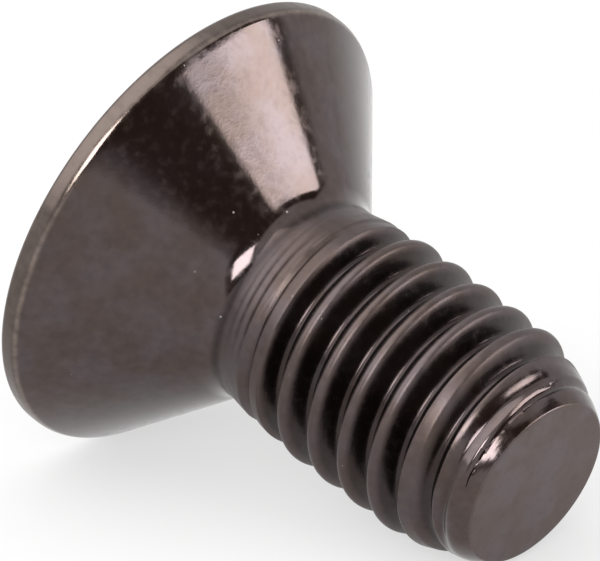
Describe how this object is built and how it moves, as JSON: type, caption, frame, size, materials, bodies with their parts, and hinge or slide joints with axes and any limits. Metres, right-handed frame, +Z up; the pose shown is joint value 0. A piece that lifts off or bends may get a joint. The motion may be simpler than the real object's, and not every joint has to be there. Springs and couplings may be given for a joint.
{
  "type": "countersunk socket screw",
  "caption": "Countersunk machine screw with a hexagon socket in its flat head, a 90 degree cone and a coarse right-hand thread, in black oxide steel.",
  "frame": {"origin": "on the surface it lies on, below the middle of its box", "axes": "+Z up; the point is towards +X and the screw lies in the XZ plane, tipped point down by 17.4 degrees, on the band of its head and the last full crests of its thread"},
  "size_m": [0.0138, 0.012, 0.0115],
  "materials": {
    "black_oxide_steel": "satin black oxide, lightly oiled"
  },
  "bodies": {
    "root": {"socket_screw": "black_oxide_steel"}
  },
  "joints": []
}
